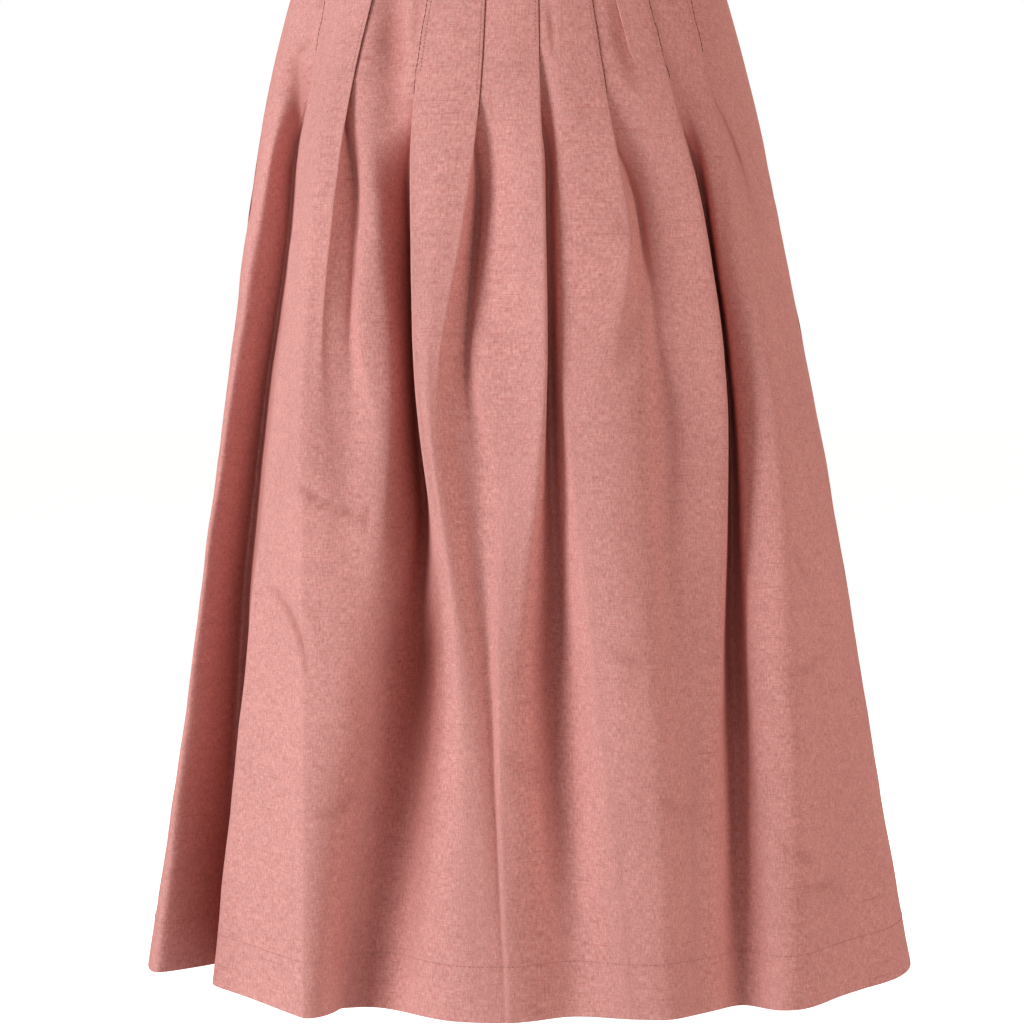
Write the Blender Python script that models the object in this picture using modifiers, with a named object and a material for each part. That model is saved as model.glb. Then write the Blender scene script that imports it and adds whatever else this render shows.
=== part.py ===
"""Pleated midi skirt, filled out as if worn, with nobody in it.

Two cloth panels meet at the side seams under a waistband that laps over itself at the wearer's
left side (+X) and closes with a button. Each panel is a wall lofted through level sections. A
section follows the skirt's outline and turns in and out at every pleat: a flat fold where the
pleat is stitched down, an open wave below. Front towards -Y, +Z up, origin at the middle of the
waist, level with the band's top edge. Sizes are in millimetres, and "below" is below the waist.
"""

import math
from bisect import bisect_right
from collections import namedtuple

import bmesh
import bpy
from mathutils import Matrix, Vector

MM = 0.001

# Driving sizes
LENGTH = 787
BAND_HEIGHT = 35
BAND_WALL = 3.2
BAND_PROUD = 0.4
BAND_ROUNDING = 0.7
BAND_LAP = 30
CLOTH_WALL = 1.2
HEM_WALL = 2.0
HEM_DEPTH = 36
LAYER_STEP = 2.0
GAP = 0.3
BUTTON_RADIUS = 8.0
BUTTON_THICK = 3.0
BUTTON_DISH_RADIUS = 5.4
BUTTON_DISH_DEPTH = 0.9
BUTTON_ROUNDING = 0.7
BUTTON_HOLE_RADIUS = 0.9
BUTTON_HOLE_SPACING = 3.4

# The outline, a row for each section: how far it goes from the origin to -X and to +X, and
# how far to the front and to the back
Outline = namedtuple("Outline", "below low_x high_x front back")
OUTLINE = (
    Outline(0, 151, 147, 97, 97),
    Outline(35, 154, 150, 100, 101),
    Outline(67, 166, 161, 111, 114),
    Outline(142, 184, 181, 124, 131),
    Outline(217, 196, 197, 135, 143),
    Outline(292, 206, 212, 145, 152),
    Outline(367, 215, 226, 154, 160),
    Outline(442, 224, 240, 163, 168),
    Outline(517, 233, 253, 173, 177),
    Outline(592, 242, 265, 183, 187),
    Outline(667, 253, 277, 193, 197),
    Outline(742, 265, 290, 204, 208),
    Outline(LENGTH, 272, 298, 212, 216),
)

# The pleats of the front, a row for each in order of +X. way is the side that the fold's edge
# points to, stitched how far below the waist it is sewn down, fades where the open fold begins
# to soften into a broad wave, and tuck how far the pleat goes under. The other columns hold a
# value for each of LEVELS: the x of the fold's edge and how far it stands out, the x of the
# valley beside it and how deep that is below the edge, then the x of the panel's crest between
# this pleat and the next, and how far it stands out.
LEVELS = (BAND_HEIGHT, 157, 250, 370, 560, LENGTH)
Pleat = namedtuple("Pleat", "way stitched fades tuck edge lift valley depth crest rise")
FRONT_PLEATS = (
    Pleat(-1, 108, 2 * LENGTH, 14, (-128, -148, -158, -169, -190, -213), (0, 0, -1, -2, -8, -18),
          (-112, -160, -169, -185, -203, -208), (4, 24, 36, 48, 62, 74),
          (-109, -136, -146, -151, -147, -142), (0, 4, 7, 10, 18, 27)),
    Pleat(1, 139, 290, 14, (-90, -117, -129, -137, -126, -129), (0, 2, 4, 4, 11, 18),
          (-104, -110, -119, -126, -113, -118), (4, 17, 19, 14, 12, 24),
          (-71, -102, -94, -87, -97, -107), (-3, -6, -6, -6, -5, -13)),
    Pleat(-1, 138, 430, 14, (-52, -70, -71, -66, -41, -46), (0, 1, 3, 5, 1, 8),
          (-38, -82, -78, -72, -56, -85), (4, 28, 44, 50, 44, 28),
          (-35, -49, -54, -59, -33, -24), (0, 2, 6, 8, 3, 12)),
    Pleat(1, 155, 330, 14, (-17, -23, -35, -52, -28, -8), (0, 2, 5, 6, 1, 12),
          (-31, -17, -27, -40, -16, 2), (4, 13, 14, 13, 6, 0),
          (-7, -1, 3, 7, -2, 8), (0, 2, 3, 2, -3, 11)),
    Pleat(1, 117, 430, 22, (18, 24, 27, 27, 10, 16), (0, 5, 9, 11, 1, 10),
          (-4, 27, 31, 32, 31, 44), (4, 16, 26, 32, 28, 16),
          (28, 38, 43, 46, 68, 80), (0, 4, 8, 9, 5, 7)),
    Pleat(1, 149, 250, 20, (50, 68, 83, 91, 95, 106), (0, 3, 3, 1, 10, 14),
          (30, 73, 92, 101, 108, 116), (4, 14, 13, 11, 3, 3),
          (60, 93, 114, 127, 119, 124), (0, 3, 8, 10, 6, 5)),
    Pleat(1, 123, 560, 24, (86, 117, 138, 151, 145, 138), (0, 3, 4, 2, -9, -4),
          (62, 121, 142, 156, 156, 159), (4, 18, 36, 40, 28, 12),
          (96, 130, 150, 166, 176, 181), (0, 3, 3, 1, 9, 15)),
    Pleat(1, 103, 170, 15, (120, 147, 168, 187, 199, 202), (0, 2, 6, 15, 19, 16),
          (102, 152, 180, 203, 219, 230), (4, 5, 6, 12, 16, 17),
          (134, 162, 190, 216, 240, 254), (0, 1, 0, 0, -2, -6)),
)
# The crest of the stretch between the seam and the first pleat, and how round the folds are
SIDE_CREST = (-143, -170, -190, -210, -236, -262)
EDGE_ROUND = (2, 2, 2.5, 3, 7, 13)
VALLEY_ROUND = (2, 2.5, 3, 3.5, 7, 12)
FLAT_ROUND = 2.5
# How much of the room between its neighbours a fold's rounds may take
FOLD_ROOM = 0.9
EDGE_ROOM = 0.8
VALLEY_ROOM = 0.6
# The heights over which a pleat opens below its stitching, and softens into a wave
OPENING_LENGTH = 90
FADING_LENGTH = 130
# Near the seams the outline runs away from the front: offsets are stretched there, but no more
# than where it faces this share of the way ahead
LEAST_AHEAD = 0.5
# The places between a seam and the first crest, as shares of the turn
SIDE_SHARES = (0.0, 0.3, 0.65)

# How each back pleat departs from the front pleat that it mirrors: shift moves the whole of it
# and sway its lower end, and deepen multiplies its depth
Change = namedtuple("Change", "shift sway deepen stitched")
BACK_CHANGES = (
    Change(2, 3, 0.75, 113),
    Change(1, -1, 1.15, 128),
    Change(-2, 3, 0.80, 142),
    Change(-1, 2, 1.20, 150),
    Change(0, -1, 0.95, 134),
    Change(2, -3, 1.30, 140),
    Change(3, 4, 0.80, 120),
    Change(4, 2, 1.10, 103),
)

# The panels' rings, closest where the pleats open, with a step at the top of the hem
HEM_TOP = LENGTH - HEM_DEPTH
RINGS = (BAND_HEIGHT + GAP, 78, 104, 118, 132, 146, 162, 178, 198, 240, 290, 330, 375, 440, 475, 515,
         560, 650, HEM_TOP - 2, HEM_TOP + 2, LENGTH)

# The band is one strip, in equal steps. Its last part slips beneath its start: how long before
# the seam it begins to go under, and over what length, as angles
BAND_STEPS = 72
UNDER_FROM = 0.30
UNDER_OVER = 0.28
BUTTON_STEPS = 36
HOLE_STEPS = 10

CLOTH_COLOUR = (0.560, 0.235, 0.205, 1.0)
CLOTH_ROUGHNESS = 0.9
BUTTON_COLOUR = (0.330, 0.130, 0.110, 1.0)
BUTTON_ROUGHNESS = 0.35


def along(levels, values, at):
    """A smooth curve through a table's values, held level past its ends."""
    at = min(max(at, levels[0]), levels[-1])
    i = min(bisect_right(levels, at) - 1, len(levels) - 2)

    def slope(k):
        low, high = max(k - 1, 0), min(k + 1, len(levels) - 1)
        return (values[high] - values[low]) / (levels[high] - levels[low])

    span = levels[i + 1] - levels[i]
    t = (at - levels[i]) / span
    return (
        values[i] * (1 + 2 * t) * (1 - t) ** 2
        + slope(i) * span * t * (1 - t) ** 2
        + values[i + 1] * t * t * (3 - 2 * t)
        + slope(i + 1) * span * t * t * (t - 1)
    )


def eased(t):
    t = min(max(t, 0.0), 1.0)
    return t * t * (3 - 2 * t)


class Section:
    """The skirt's outline at one height: half an ellipse in front, half behind."""

    def __init__(self, below):
        def size(column):
            return along([row.below for row in OUTLINE], [getattr(row, column) for row in OUTLINE], below)

        self.below = below
        self.middle = (size("high_x") - size("low_x")) / 2
        self.half = (size("high_x") + size("low_x")) / 2
        self.front = size("front")
        self.back = size("back")

    def round_the_body(self, turn, out=0.0):
        """The place at an angle from the +X seam, past the front, moved out along the normal."""
        deep = self.front if math.sin(turn) > 0 else self.back
        across, ahead = math.cos(turn), -math.sin(turn)
        normal = Vector((across / self.half, ahead / deep)).normalized()
        return Vector((self.middle + self.half * across, deep * ahead)) + normal * out


def blended(places, others, share):
    return [(a + (c - a) * share, b + (d - b) * share) for (a, b), (c, d) in zip(places, others)]


def pleat_keys(pleat, below):
    """(x, out) of a fading pleat's edge and valley at one height, in order of +X."""
    edge = along(LEVELS, pleat.edge, below), along(LEVELS, pleat.lift, below)
    valley = along(LEVELS, pleat.valley, below), edge[1] - along(LEVELS, pleat.depth, below)
    if pleat.fades > LENGTH:
        return ()
    return (edge, valley) if pleat.way > 0 else (valley, edge)


def pleat_points(pleat, below, crest_behind, crest_beyond, wave):
    """(x, out) of a pleat's fold at one height, in order of +X, between two panels' crests."""
    way = pleat.way
    edge = along(LEVELS, pleat.edge, below)
    tuck = edge - way * pleat.tuck
    lip = way * FLAT_ROUND
    stitched = (
        (edge - lip, 0),
        (edge, 0),
        (edge, -LAYER_STEP),
        (edge - lip, -LAYER_STEP),
        (tuck + lip, -LAYER_STEP),
        (tuck, -LAYER_STEP),
        (tuck, -2 * LAYER_STEP),
        (tuck + lip, -2 * LAYER_STEP),
        (edge + lip, -2 * LAYER_STEP),
    )
    valley = along(LEVELS, pleat.valley, below)
    lift = along(LEVELS, pleat.lift, below)
    deep = along(LEVELS, pleat.depth, below)
    lip = along(LEVELS, EDGE_ROUND, below)
    bend = along(LEVELS, VALLEY_ROUND, below)
    # A shallow fold is less round, so that its points stay in order
    room = max(way * (valley - edge) / (lip / 3 + bend), deep / (lip + bend))
    lip = min(lip, FOLD_ROOM * lip * room, EDGE_ROOM * abs(edge - crest_behind))
    bend = min(bend, FOLD_ROOM * bend * room, VALLEY_ROOM * abs(crest_beyond - valley))
    floor = lift - deep
    opened = (
        (edge - way * lip, lift),
        (edge - way * lip / 3, lift),
        (edge + way * lip / 4, lift - min(lip, deep) / 3),
        (edge + way * lip / 3, lift - min(lip, deep / 2)),
        (valley - way * bend * 0.8, floor + min(bend, deep / 3)),
        (valley - way * bend / 3, floor),
        (valley + way * bend / 3, floor),
        (valley + way * bend * 0.8, floor + min(bend, deep / 3)),
        (valley + way * bend * 1.3, floor + min(2.2 * bend, deep / 2)),
    )
    closed = 1 - min(max((below - pleat.stitched) / OPENING_LENGTH, 0), 1)
    points = blended(stitched, opened, 1 - closed**2)
    faded = eased((below - pleat.fades) / FADING_LENGTH)
    if faded > 0:
        step = (crest_beyond - crest_behind) / (len(points) + 1)
        places = [crest_behind + step * (i + 1) for i in range(len(points))]
        points = blended(points, [(x, wave(x)) for x in places], faded)
    return points if way > 0 else points[::-1]


def panel_plan(below, pleats, behind):
    """A panel's plan at one height, from seam to seam. The back is turned to face behind."""
    section = Section(below)
    deep = section.back if behind else section.front

    def on_outline(x, out=0.0):
        share = min(abs(x - section.middle) / section.half, 1.0)
        ahead = math.sqrt(1 - share * share)
        lean = math.hypot(1, deep / section.half * share / max(ahead, LEAST_AHEAD))
        return x, deep * ahead + out * lean

    def round_the_side(way, x):
        turn = math.acos(min(way * (x - section.middle) / section.half, 1.0))
        for share in SIDE_SHARES:
            across, ahead = math.cos(turn * share), math.sin(turn * share)
            yield section.middle + way * section.half * across, deep * ahead + GAP / 2

    crests = [along(LEVELS, crest, below) for crest in (SIDE_CREST, *(pleat.crest for pleat in pleats))]
    keys = [(crests[0], 0.0)]
    for pleat, crest in zip(pleats, crests[1:]):
        keys += [*pleat_keys(pleat, below), (crest, along(LEVELS, pleat.rise, below))]

    def wave(x):
        """The smooth wave through the folds' edges, valleys and crests."""
        return along([key[0] for key in keys], [key[1] for key in keys], x)

    plan = [*round_the_side(-1, crests[0]), on_outline(crests[0])]
    last_rise = 0.0
    for pleat, before, after in zip(pleats, crests, crests[1:]):
        sides = (before, after) if pleat.way > 0 else (after, before)
        fold = pleat_points(pleat, below, *sides, wave)
        rise = along(LEVELS, pleat.rise, below)
        halfway = ((before + fold[0][0]) / 2, (last_rise + fold[0][1]) / 2)
        plan += [on_outline(*place) for place in (halfway, *fold, (after, rise))]
        last_rise = rise
    plan += list(round_the_side(1, crests[-1]))[::-1]
    if behind:
        return [Vector((2 * section.middle - x, y)) for x, y in plan]
    return [Vector((x, -y)) for x, y in plan]


def rounded(plan):
    """The cubic B-spline of a plan, at one place for each of its points."""
    inner = [(a + 4 * b + c) / 6 for a, b, c in zip(plan, plan[1:], plan[2:])]
    return [plan[0], *inner, plan[-1]]


def new_object(name, mesh, collection, colour, roughness):
    obj = bpy.data.objects.new(name, mesh)
    collection.objects.link(obj)
    material = bpy.data.materials.new(name)
    material.use_nodes = True
    shader = material.node_tree.nodes["Principled BSDF"]
    shader.inputs["Base Color"].default_value = colour
    shader.inputs["Roughness"].default_value = roughness
    material.diffuse_color = colour
    mesh.materials.append(material)
    return obj


def loft(name, rings):
    """An open sheet through rings of as many places each."""
    mesh = bpy.data.meshes.new(name)
    build = bmesh.new()
    rows = [[build.verts.new(place) for place in ring] for ring in rings]
    for upper, lower in zip(rows, rows[1:]):
        for a, b, c, d in zip(upper, upper[1:], lower[1:], lower):
            build.faces.new((a, d, c, b))
    build.to_mesh(mesh)
    build.free()
    mesh.shade_smooth()
    return mesh


def thicken(obj, wall):
    solidify = obj.modifiers.new("Cloth wall", "SOLIDIFY")
    solidify.thickness = wall * MM
    solidify.offset = 0.0
    return solidify


def make_panel(name, pleats, behind, collection):
    rings = []
    for below in RINGS:
        plan = rounded(panel_plan(below, pleats, behind))
        rings.append([Vector((x, y, -below)) * MM for x, y in plan])
    obj = new_object(name, loft(name, rings), collection, CLOTH_COLOUR, CLOTH_ROUGHNESS)
    walls = obj.vertex_groups.new(name="Wall")
    across = len(rings[0])
    for row, below in enumerate(RINGS):
        share = 1.0 if below > HEM_TOP else CLOTH_WALL / HEM_WALL
        walls.add(range(row * across, (row + 1) * across), share, "REPLACE")
    thicken(obj, HEM_WALL).vertex_group = walls.name
    return obj


def band_out(turn):
    """How far the band's middle stands out: its under end passes beneath the upper one."""
    level = CLOTH_WALL / 2 - BAND_WALL / 2 + BAND_PROUD
    start = 2 * math.pi - UNDER_FROM
    return level - (BAND_WALL + GAP) * eased((turn - start) / UNDER_OVER)


def make_waistband(collection):
    """One strip once round the waist, from the +X seam past the front and on under its start."""
    top, bottom = Section(0), Section(BAND_HEIGHT)
    full = 2 * math.pi + BAND_LAP / top.front
    turns = [full * i / BAND_STEPS for i in range(BAND_STEPS + 1)]
    rings = []
    for section in (top, bottom):
        places = [section.round_the_body(turn, band_out(turn)) for turn in turns]
        rings.append([Vector((*place, -section.below)) * MM for place in places])
    obj = new_object("waistband", loft("waistband", rings), collection, CLOTH_COLOUR, CLOTH_ROUGHNESS)
    thicken(obj, BAND_WALL)
    bevel = obj.modifiers.new("Folded edges", "BEVEL")
    bevel.width = BAND_ROUNDING * MM
    bevel.segments = 1
    bevel.limit_method = "ANGLE"
    return obj


def make_button(collection, cutters):
    """A turned button with a dished face and four holes, on the end of the band's upper lap."""
    rim, dish = BUTTON_RADIUS, BUTTON_DISH_RADIUS
    profile = (
        (0, BUTTON_THICK - BUTTON_DISH_DEPTH),
        (dish - 1, BUTTON_THICK - BUTTON_DISH_DEPTH),
        (dish, BUTTON_THICK),
        (rim - BUTTON_ROUNDING, BUTTON_THICK),
        (rim, BUTTON_THICK - BUTTON_ROUNDING),
        (rim, BUTTON_ROUNDING),
        (rim - BUTTON_ROUNDING, 0),
        (0, 0),
    )
    mesh = bpy.data.meshes.new("button")
    edges = [(i, i + 1) for i in range(len(profile) - 1)]
    mesh.from_pydata([(r * MM, 0, z * MM) for r, z in profile], edges, [])
    button = new_object("button", mesh, collection, BUTTON_COLOUR, BUTTON_ROUGHNESS)
    screw = button.modifiers.new("Turned", "SCREW")
    screw.steps = screw.render_steps = BUTTON_STEPS
    screw.use_merge_vertices = True
    screw.merge_threshold = 0.00005
    screw.use_smooth_shade = True

    top, bottom = Section(0), Section(BAND_HEIGHT)
    turn = BAND_LAP / 2 / top.front
    out = band_out(turn) + BAND_WALL / 2
    high = Vector((*top.round_the_body(turn, out), 0))
    low = Vector((*bottom.round_the_body(turn, out), -BAND_HEIGHT))
    along_band = Vector((*top.round_the_body(2 * turn, out), 0)) - Vector((*top.round_the_body(0, out), 0))
    facing = along_band.cross(low - high).normalized()
    place = (high + low) / 2 + facing * GAP
    button.matrix_world = Matrix.Translation(place * MM) @ facing.to_track_quat("Z", "Y").to_matrix().to_4x4()

    aside = BUTTON_HOLE_SPACING / math.sqrt(2)
    for number in range(4):
        turn = math.radians(45 + 90 * number)
        hole_mesh = bpy.data.meshes.new(f"button_hole_{number}")
        build = bmesh.new()
        bmesh.ops.create_cone(
            build,
            cap_ends=True,
            segments=HOLE_STEPS,
            radius1=BUTTON_HOLE_RADIUS * MM,
            radius2=BUTTON_HOLE_RADIUS * MM,
            depth=3 * BUTTON_THICK * MM,
        )
        build.to_mesh(hole_mesh)
        build.free()
        hole = bpy.data.objects.new(hole_mesh.name, hole_mesh)
        cutters.objects.link(hole)
        hole.hide_render = True
        hole.display_type = "WIRE"
        aside_place = Vector((aside * math.cos(turn), aside * math.sin(turn), 0)) * MM
        hole.matrix_world = button.matrix_world @ Matrix.Translation(aside_place)
        cut = button.modifiers.new(hole.name, "BOOLEAN")
        cut.operation = "DIFFERENCE"
        cut.object = hole
    return button


def back_pleats():
    """The front's pleats with the back's own changes."""
    changed = []
    for pleat, change in zip(FRONT_PLEATS, BACK_CHANGES):
        shifts = [change.shift + change.sway * eased(below / LENGTH) for below in LEVELS]
        moved = {
            name: tuple(x + shift for x, shift in zip(getattr(pleat, name), shifts))
            for name in ("edge", "valley", "crest")
        }
        depth = tuple(deep * change.deepen if deep > 0 else deep for deep in pleat.depth)
        changed.append(pleat._replace(depth=depth, stitched=change.stitched, **moved))
    return changed


def new_collection(name):
    collection = bpy.data.collections.new(name)
    bpy.context.scene.collection.children.link(collection)
    return collection


def main():
    for obj in list(bpy.data.objects):
        bpy.data.objects.remove(obj, do_unlink=True)
    skirt = new_collection("Pleated midi skirt")
    cutters = new_collection("Cutters")
    make_panel("front_panel", FRONT_PLEATS, False, skirt)
    make_panel("back_panel", back_pleats(), True, skirt)
    make_waistband(skirt)
    make_button(skirt, cutters)


main()
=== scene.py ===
import math
from bisect import bisect_right
from collections import namedtuple

import bpy
import numpy as np
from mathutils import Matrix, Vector


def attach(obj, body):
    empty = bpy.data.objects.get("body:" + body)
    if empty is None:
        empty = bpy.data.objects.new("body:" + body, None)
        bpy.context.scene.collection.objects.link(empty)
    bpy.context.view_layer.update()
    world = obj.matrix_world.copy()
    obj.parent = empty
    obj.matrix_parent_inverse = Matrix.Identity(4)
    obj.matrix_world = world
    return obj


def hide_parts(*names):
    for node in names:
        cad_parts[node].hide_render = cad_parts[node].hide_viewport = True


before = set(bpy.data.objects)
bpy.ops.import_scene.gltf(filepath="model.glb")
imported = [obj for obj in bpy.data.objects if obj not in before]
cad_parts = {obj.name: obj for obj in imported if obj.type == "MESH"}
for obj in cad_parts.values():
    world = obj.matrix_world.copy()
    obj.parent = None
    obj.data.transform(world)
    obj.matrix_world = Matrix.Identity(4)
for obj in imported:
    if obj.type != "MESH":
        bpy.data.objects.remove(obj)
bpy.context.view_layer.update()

MM = 0.001

LENGTH = 787
BAND_HEIGHT = 35
BAND_THICK = 2.8
BAND_MIDDLE = -0.6
BAND_LAP = 30
HEM_DEPTH = 36
CLOTH_FOLD = 0.9
SEAM_ALLOWANCE = 14
LAYER_STEP = 0.6

Outline = namedtuple("Outline", "below low_x high_x front back")
OUTLINE = (
    Outline(0, 151, 147, 97, 97),
    Outline(35, 154, 150, 100, 101),
    Outline(67, 166, 161, 111, 114),
    Outline(142, 184, 181, 124, 131),
    Outline(217, 196, 197, 135, 143),
    Outline(292, 206, 212, 145, 152),
    Outline(367, 215, 226, 154, 160),
    Outline(442, 224, 240, 163, 168),
    Outline(517, 233, 253, 173, 177),
    Outline(592, 242, 265, 183, 187),
    Outline(667, 253, 277, 193, 197),
    Outline(742, 265, 290, 204, 208),
    Outline(LENGTH, 272, 298, 212, 216),
)

# way is the side that the fold's edge points to. The columns in brackets hold a value for each
# of LEVELS: the edge's x and how far it stands out, the valley's x and depth, the crest's x
# beyond the pleat and how far that stands out.
LEVELS = (BAND_HEIGHT, 157, 250, 370, 560, LENGTH)
Pleat = namedtuple("Pleat", "way stitched fades tuck edge lift valley depth crest rise")
FRONT_PLEATS = (
    Pleat(-1, 108, 2 * LENGTH, 14, (-128, -148, -158, -169, -190, -213), (0, 0, -1, -2, -8, -18),
          (-112, -155, -166, -184, -203, -208), (4, 26, 38, 48, 62, 74),
          (-109, -136, -146, -151, -147, -142), (0, 4, 7, 10, 18, 27)),
    Pleat(1, 139, 290, 14, (-90, -117, -129, -136, -128, -129), (0, 2, 4, 4, 13, 18),
          (-104, -110, -112, -116, -113, -118), (4, 17, 20, 13, 7, 24),
          (-71, -101, -94, -83, -97, -118), (-3, -8, -10, -13, -8, -11)),
    Pleat(-1, 138, 430, 14, (-52, -70, -71, -66, -41, -46), (0, 1, 3, 5, 1, 8),
          (-38, -75, -73, -68, -58, -91), (4, 28, 46, 52, 46, 30),
          (-35, -49, -54, -59, -33, -24), (0, 2, 6, 8, 3, 12)),
    Pleat(1, 155, 330, 14, (-17, -23, -35, -52, -28, -8), (0, 2, 5, 6, 1, 12),
          (-31, -17, -25, -32, -14, 2), (4, 20, 26, 20, 9, 2),
          (-7, -1, 3, 5, -10, -2), (0, 2, 3, 2, 0, 13)),
    Pleat(1, 117, 430, 22, (18, 20, 23, 23, 8, 14), (0, 5, 9, 10, -5, 6),
          (-4, 23, 26, 27, 32, 42), (4, 16, 24, 30, 24, 14),
          (28, 31, 32, 35, 56, 80), (0, 2, 2, 3, 4, 7)),
    Pleat(1, 149, 250, 20, (50, 68, 83, 91, 95, 106), (0, 6, 10, 11, 14, 14),
          (30, 73, 92, 101, 108, 116), (4, 18, 20, 17, 8, 4),
          (60, 90, 105, 118, 119, 124), (0, 0, 0, 0, 1, 5)),
    Pleat(1, 123, 560, 24, (86, 117, 138, 151, 145, 138), (0, 6, 9, 9, -3, -4),
          (62, 121, 142, 156, 156, 159), (4, 18, 36, 40, 28, 12),
          (96, 129, 145, 159, 166, 181), (0, -2, -6, -10, -2, 10)),
    Pleat(1, 103, 170, 15, (120, 147, 168, 187, 199, 202), (0, 2, 6, 15, 19, 16),
          (102, 152, 180, 203, 219, 230), (4, 5, 6, 12, 16, 17),
          (134, 162, 190, 216, 240, 254), (0, 1, 0, 0, -2, -6)),
)
SIDE_CREST = (-143, -170, -190, -210, -236, -262)
EDGE_ROUND = (2, 2, 2.5, 3, 7, 13)
VALLEY_ROUND = (2, 2.5, 3, 3.5, 7, 12)
FLAT_ROUND = 2.5
FOLD_ROOM = 0.9
EDGE_ROOM = 0.8
VALLEY_ROOM = 0.6
OPENING_LENGTH = 90
FADING_LENGTH = 130
LEAST_AHEAD = 0.5
SIDE_SHARES = (0.0, 0.3, 0.65)
SEAM_GAP = 0.3

Change = namedtuple("Change", "shift sway deepen stitched")
BACK_CHANGES = (
    Change(2, 3, 0.75, 113),
    Change(1, -1, 1.15, 128),
    Change(-2, 3, 0.80, 142),
    Change(-1, 2, 1.20, 150),
    Change(0, -1, 0.95, 134),
    Change(2, -3, 1.30, 140),
    Change(3, 4, 0.80, 120),
    Change(4, 2, 1.10, 103),
)

# Creases, each a soft trough (or a ridge, where deep is negative) from one place on the cloth to
# another, with how wide and deep it is and how far it bows aside
Crease = namedtuple("Crease", "x below to_x to_below wide deep bow")
FRONT_CREASES = (
    Crease(-154, 426, -120, 447, 4.6, 2.2, 2),
    Crease(-122, 446, -100, 455, 4.4, 2.2, -2),
    Crease(-146, 418, -112, 438, 7.0, -1.2, 2),
    Crease(-101, 442, -102, 462, 4.2, 1.6, 0),
    Crease(-172, 498, -142, 562, 5.5, 2.2, -5),
    Crease(-160, 496, -130, 556, 8.0, -1.2, -5),
    Crease(-138, 655, -107, 640, 5.0, 1.6, 4),
    Crease(-166, 118, -144, 105, 4.5, 1.8, 1),
    Crease(-158, 128, -128, 112, 7.0, -1.2, 2),
    Crease(-88, 62, -87, 178, 20.0, 6.0, 0),
    Crease(-159, 108, -163, 192, 12.0, 4.0, 0),
    Crease(27, 84, 29, 126, 4.6, 1.8, 0),
    Crease(-142, 88, -133, 58, 4.0, 1.0, 0),
    Crease(-66, 60, -70, 120, 8.0, 1.2, 0),
    Crease(72, 70, 90, 150, 13.0, 2.2, 2),
    Crease(66, 540, 92, 548, 8.0, 1.3, 3),
    Crease(60, 556, 86, 560, 9.0, -1.0, 2),
    Crease(182, 668, 214, 690, 6.0, 1.4, 4),
    Crease(196, 706, 236, 716, 6.0, 1.3, -3),
    Crease(206, 732, 232, 700, 7.0, -1.1, 4),
    Crease(190, 560, 226, 548, 7.0, 1.0, 4),
    Crease(200, 470, 216, 500, 6.0, 0.9, 3),
    Crease(-20, 318, 12, 330, 7.0, 0.8, 3),
    Crease(-8, 610, 30, 624, 9.0, 0.9, 5),
    Crease(-96, 700, -56, 690, 8.0, 1.0, 4),
    Crease(100, 640, 128, 652, 8.0, 0.9, 3),
    Crease(64, 230, 84, 262, 8.0, 0.8, -3),
)
BACK_CREASES = (
    Crease(120, 410, 92, 432, 3.6, 1.3, 3),
    Crease(-148, 520, -122, 560, 4.5, 1.2, -4),
    Crease(-60, 470, -34, 486, 4.0, 0.9, 2),
    Crease(150, 610, 176, 596, 5.0, 1.0, 3),
    Crease(40, 560, 74, 572, 6.0, 0.8, 4),
    Crease(-190, 680, -160, 700, 5.0, 1.0, -3),
    Crease(-20, 660, 16, 650, 7.0, 0.7, 3),
    Crease(86, 700, 118, 716, 6.0, 0.8, 4),
)

# The sheet's rows, closest where the pleats open and again just above the hem's edge, and how far
# apart its columns are at most, with the fewest and the most between two points of the plan
ROWS_TOP = 33
ROWS_CLOSE = (4.6, 270)
ROWS_WIDE = 5.0
LAST_ROWS = (2, 0.8, 0.2)
COLUMN_STEP = 2.9
LEAST_COLUMNS, MOST_COLUMNS = 2, 14

# The hem's fold lies this far below its last row, and a seam allowance turns in by these steps
HEM_TURN = 0.5
ALLOWANCE_STEPS = (0.0, 0.8, 3, 6, 9, SEAM_ALLOWANCE)

# The cloth's unevenness: lumps of three sizes, which come in full this far below the band
Lump = namedtuple("Lump", "deep wide long")
UNEVENNESS = (Lump(0.9, 46, 120), Lump(0.6, 24, 50), Lump(0.3, 13, 17))
LOOSE_AFTER = 160
NOISE_CELLS = 257

# How deep in a fold the painted shade starts and is darkest, the depth of a full crease and how
# much painted shade it gets, how far a crease wanders and how bluntly it ends, and how fast creases
# come in on cloth that faces outwards
PAINTED_SHADE_FROM = 10
PAINTED_SHADE_FULL = 44
CREASE_FULL = 2.2
CREASE_SHADE = 0.5
CREASE_WANDER = 1.2
CREASE_TAPER = 0.7
FACING_GAIN = 2.5

# Stitches: how far apart they start, the gap between two (they overlap where it is negative) and
# the thread's radius
Stitching = namedtuple("Stitching", "pitch gap radius")
TOP_STITCHING = Stitching(2.8, 0.7, 0.2)
HEM_STITCHING = Stitching(3.0, 0.7, 0.2)
PLEAT_SEAM = Stitching(4.0, -0.8, 0.30)
SIDE_SEAM = Stitching(6.0, -1.2, 0.55)

# Where stitches lie: how far in from a pleat's edge, beside it and on below its stitching for the seam's
# line, a dark thread that paints the shadow in the seam's ditch, and how far each kind stands out of the
# sheet (it is sunk where that is negative)
EDGE_INSET = 2.6
SEAM_BESIDE_EDGE = 0.5
SEAM_BELOW_STITCHING = 18
THREAD_OUT = 0.05
PLEAT_SEAM_OUT = -0.12
SIDE_SEAM_OUT = -0.9

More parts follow.
